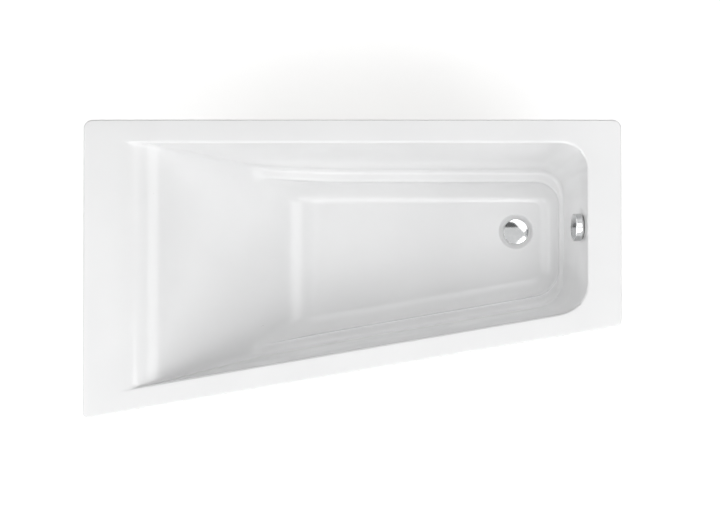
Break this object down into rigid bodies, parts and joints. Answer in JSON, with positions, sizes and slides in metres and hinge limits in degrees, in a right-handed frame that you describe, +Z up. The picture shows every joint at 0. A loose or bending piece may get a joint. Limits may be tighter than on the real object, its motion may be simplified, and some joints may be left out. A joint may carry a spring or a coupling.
{
  "type": "built-in bath",
  "caption": "Space-saving built-in bath tub with one slanted long side, backrest, ledge round the pan, knob-operated plug, trap and levelling leg frame.",
  "frame": {"origin": "on the floor under the centre of the box round the rim", "axes": "+X from the wide head end to the narrow foot end, +Y towards the wall side, +Z up"},
  "size_m": [1.5, 0.83, 0.59],
  "materials": {
    "acrylic": "glossy white acrylic",
    "glass_fibre": "rough sprayed resin and glass fibre",
    "chipboard": "sealed chipboard",
    "zinc_steel": "zinc-plated pressed steel",
    "zinc_fastener": "zinc-plated",
    "pad_plastic": "black moulded plastic",
    "chrome": "polished chrome plating",
    "seal_rubber": "soft black rubber",
    "white_plastic": "moulded polypropylene",
    "grey_plastic": "moulded acetal",
    "cable_jacket": "extruded plastic jacket"
  },
  "bodies": {
    "tub": {"tub_shell": "acrylic", "reinforcement_layer": "glass_fibre", "wall_batten": "chipboard", "front_batten": "chipboard", "head_batten": "chipboard", "foot_batten": "chipboard", "base_board": "chipboard", "wall_side_rail": "zinc_steel", "front_side_rail": "zinc_steel", "head_cross_rail": "zinc_steel", "foot_cross_rail": "zinc_steel", "board_screws": "zinc_fastener", "rail_bolts": "zinc_fastener", "rail_bolt_nuts": "zinc_fastener", "lock_nuts": "zinc_fastener", "waste_top_gasket": "seal_rubber", "waste_bottom_gasket": "seal_rubber", "waste_flange": "chrome", "waste_cup": "white_plastic", "lever_box_cover": "white_plastic", "lever_box_screws": "zinc_fastener", "trap_bend": "white_plastic", "trap_plug": "white_plastic", "overflow_front_gasket": "seal_rubber", "overflow_back_gasket": "seal_rubber", "overflow_inlet": "white_plastic", "overflow_elbow": "white_plastic", "pulley_cap": "white_plastic", "overflow_pipe": "white_plastic", "upper_union_nut": "white_plastic", "lower_union_nut": "white_plastic", "trap_union_nut": "white_plastic", "union_washers": "seal_rubber", "bowden_cable": "cable_jacket", "cable_ferrules": "grey_plastic", "cable_clips": "grey_plastic"},
    "overflow_control": {"overflow_knob": "chrome", "knob_screw": "zinc_fastener", "spindle": "zinc_fastener", "cable_pulley": "grey_plastic"},
    "plug": {"waste_cover": "chrome", "plug_seal": "seal_rubber", "plug_stem": "grey_plastic"},
    "lever": {"lift_lever": "grey_plastic", "cable_arm": "grey_plastic"},
    "nut_head_front": {"head_front_nut": "zinc_fastener"},
    "leg_head_front": {"head_front_pad": "pad_plastic", "head_front_stud": "zinc_fastener"},
    "nut_head_wall": {"head_wall_nut": "zinc_fastener"},
    "leg_head_wall": {"head_wall_pad": "pad_plastic", "head_wall_stud": "zinc_fastener"},
    "nut_foot_front": {"foot_front_nut": "zinc_fastener"},
    "leg_foot_front": {"foot_front_pad": "pad_plastic", "foot_front_stud": "zinc_fastener"},
    "nut_foot_wall": {"foot_wall_nut": "zinc_fastener"},
    "leg_foot_wall": {"foot_wall_pad": "pad_plastic", "foot_wall_stud": "zinc_fastener"}
  },
  "joints": [
    {"name": "knob_turn", "type": "hinge", "parent": "tub", "child": "overflow_control", "pos_m": [0.64804, 0.117, 0.515], "axis": [-0.9957, 0, 0.0924], "range_deg": [0, 75]},
    {"name": "plug_lift", "type": "slide", "parent": "tub", "child": "plug", "axis": [0, 0, 1], "range_m": [0, 0.01]},
    {"name": "lever_tilt", "type": "hinge", "parent": "tub", "child": "lever", "pos_m": [0.47064, 0.117, 0.1272], "axis": [0, -1, 0], "range_deg": [0, 28.96]},
    {"name": "nut_turn_head_front", "type": "hinge", "parent": "tub", "child": "nut_head_front", "pos_m": [-0.4, -0.27, 0.1295], "axis": [0, 0, 1], "range_deg": [-1200.5, 9600.5]},
    {"name": "leg_height_head_front", "type": "slide", "parent": "tub", "child": "leg_head_front", "axis": [0, 0, 1], "range_m": [-0.04, 0.005]},
    {"name": "nut_turn_head_wall", "type": "hinge", "parent": "tub", "child": "nut_head_wall", "pos_m": [-0.4, 0.3, 0.1295], "axis": [0, 0, 1], "range_deg": [-1200.5, 9600.5]},
    {"name": "leg_height_head_wall", "type": "slide", "parent": "tub", "child": "leg_head_wall", "axis": [0, 0, 1], "range_m": [-0.04, 0.005]},
    {"name": "nut_turn_foot_front", "type": "hinge", "parent": "tub", "child": "nut_foot_front", "pos_m": [0.38, -0.15, 0.1295], "axis": [0, 0, 1], "range_deg": [-1200.5, 9600.5]},
    {"name": "leg_height_foot_front", "type": "slide", "parent": "tub", "child": "leg_foot_front", "axis": [0, 0, 1], "range_m": [-0.04, 0.005]},
    {"name": "nut_turn_foot_wall", "type": "hinge", "parent": "tub", "child": "nut_foot_wall", "pos_m": [0.38, 0.3, 0.1295], "axis": [0, 0, 1], "range_deg": [-1200.5, 9600.5]},
    {"name": "leg_height_foot_wall", "type": "slide", "parent": "tub", "child": "leg_foot_wall", "axis": [0, 0, 1], "range_m": [-0.04, 0.005]}
  ],
  "couplings": [
    {"joint": "plug_lift", "follows": "knob_turn", "m_per_rad": 0.007639},
    {"joint": "lever_tilt", "follows": "knob_turn", "ratio": 0.38607},
    {"joint": "nut_turn_head_front", "follows": "leg_height_head_front", "rad_per_m": -4188.8},
    {"joint": "nut_turn_head_wall", "follows": "leg_height_head_wall", "rad_per_m": -4188.8},
    {"joint": "nut_turn_foot_front", "follows": "leg_height_foot_front", "rad_per_m": -4188.8},
    {"joint": "nut_turn_foot_wall", "follows": "leg_height_foot_wall", "rad_per_m": -4188.8}
  ]
}
